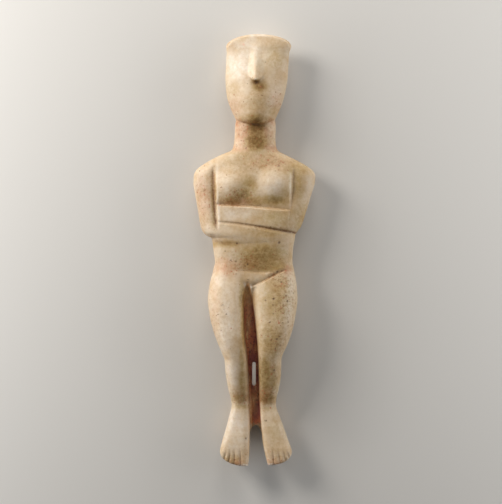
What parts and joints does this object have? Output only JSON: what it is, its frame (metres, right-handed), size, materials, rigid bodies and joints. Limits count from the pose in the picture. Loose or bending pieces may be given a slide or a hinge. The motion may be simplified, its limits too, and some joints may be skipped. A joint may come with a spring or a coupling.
{
  "type": "carved stone figurine",
  "caption": "Carved marble female figurine with folded arms and a schematic face, lying on its back",
  "frame": {"origin": "on the surface that the figurine lies on, under the middle of its length and width", "axes": "+Y up the figure to the crown, +X to the viewer's right when the face is seen upright, +Z out of the front"},
  "size_m": [0.0852, 0.3, 0.0318],
  "materials": {
    "marble": "worn, with a brown patina"
  },
  "bodies": {
    "root": {"figurine": "marble"}
  },
  "joints": []
}
